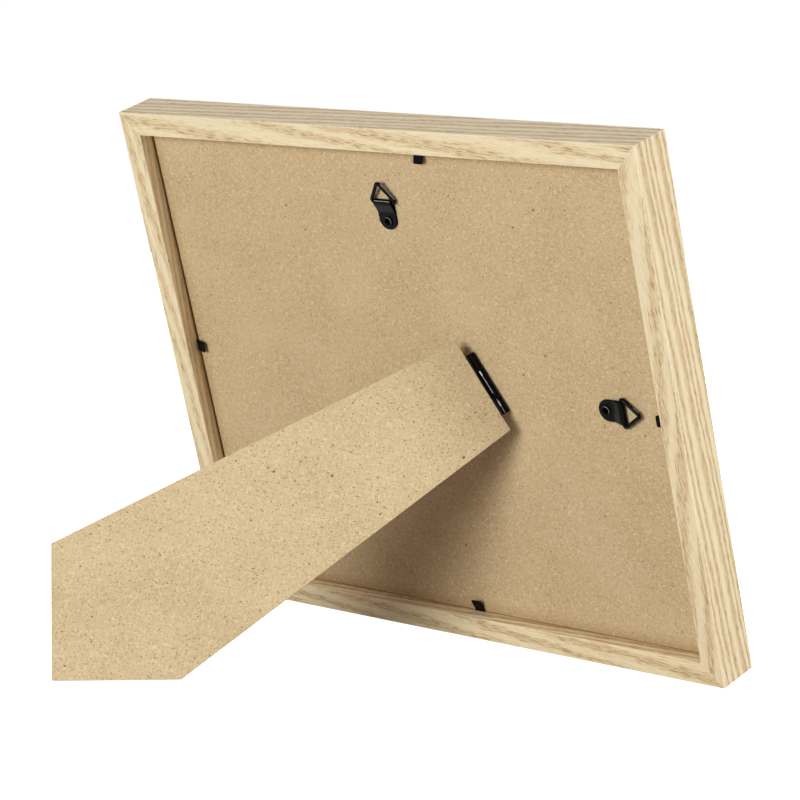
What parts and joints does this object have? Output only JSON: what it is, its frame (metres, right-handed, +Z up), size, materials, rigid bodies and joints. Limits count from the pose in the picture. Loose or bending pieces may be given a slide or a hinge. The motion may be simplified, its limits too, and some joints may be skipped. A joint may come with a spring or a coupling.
{
  "type": "easel back photo frame",
  "caption": "Wooden landscape photo frame standing on a hinged easel strut, with a sunk backing board, bendable flex tabs and triangular hanger rings.",
  "frame": {"origin": "on the table, in the middle of the box around the standing frame", "axes": "+Z up, the picture faces -Y, +X is to the right as seen from the front"},
  "size_m": [0.278, 0.1892, 0.2234],
  "materials": {
    "oak": "satin clear oil",
    "board_mdf": "raw smooth fibreboard",
    "strut_mdf": "raw smooth fibreboard",
    "black_metal": "satin black coated steel",
    "nail_steel": "bare rolled steel",
    "glazing": "clear polished",
    "card": "plain matt card"
  },
  "bodies": {
    "frame": {"top_rail": "oak", "right_rail": "oak", "bottom_rail": "oak", "left_rail": "oak", "corner_v_nails": "nail_steel", "glazing": "glazing", "picture_insert": "card", "backing_board": "board_mdf", "top_hanger_strap": "black_metal", "side_hanger_strap": "black_metal", "top_hanger_rivet": "black_metal", "side_hanger_rivet": "black_metal", "hinge_board_leaf": "black_metal", "hinge_pin": "black_metal", "hinge_board_rivets": "black_metal", "top_tab_shank": "black_metal", "right_tab_shank": "black_metal", "bottom_tab_shank": "black_metal", "left_tab_shank": "black_metal"},
    "strut": {"easel_strut": "strut_mdf", "hinge_strut_leaf": "black_metal"},
    "top_ring": {"top_hanger_ring": "black_metal"},
    "side_ring": {"side_hanger_ring": "black_metal"},
    "top_tab": {"top_tab_blade": "black_metal"},
    "right_tab": {"right_tab_blade": "black_metal"},
    "bottom_tab": {"bottom_tab_blade": "black_metal"},
    "left_tab": {"left_tab_blade": "black_metal"}
  },
  "joints": [
    {"name": "strut_fold", "type": "hinge", "parent": "frame", "child": "strut", "pos_m": [-0.0392, -0.04825, 0.11503], "axis": [-0.4924, -0.2399, -0.8366], "range_deg": [0, 50]},
    {"name": "top_ring_swing", "type": "hinge", "parent": "frame", "child": "top_ring", "pos_m": [-0.0008, -0.02804, 0.18736], "axis": [-1, 0, 0], "range_deg": [-11, 105]},
    {"name": "side_ring_swing", "type": "hinge", "parent": "frame", "child": "side_ring", "pos_m": [-0.1063, -0.05025, 0.10988], "axis": [0, -0.2756, -0.9613], "range_deg": [-4, 112]},
    {"name": "top_tab_bend", "type": "hinge", "parent": "frame", "child": "top_tab", "pos_m": [-0.0245, -0.02219, 0.20992], "axis": [1, 0, 0], "range_deg": [-20, 60]},
    {"name": "right_tab_bend", "type": "hinge", "parent": "frame", "child": "right_tab", "pos_m": [-0.1287, -0.0511, 0.10908], "axis": [0, 0.2756, 0.9613], "range_deg": [-20, 60]},
    {"name": "bottom_tab_bend", "type": "hinge", "parent": "frame", "child": "bottom_tab", "pos_m": [-0.0093, -0.07908, 0.01151], "axis": [-1, 0, 0], "range_deg": [-20, 60]},
    {"name": "left_tab_bend", "type": "hinge", "parent": "frame", "child": "left_tab", "pos_m": [0.1287, -0.04948, 0.11475], "axis": [0, -0.2756, -0.9613], "range_deg": [-20, 60]}
  ]
}
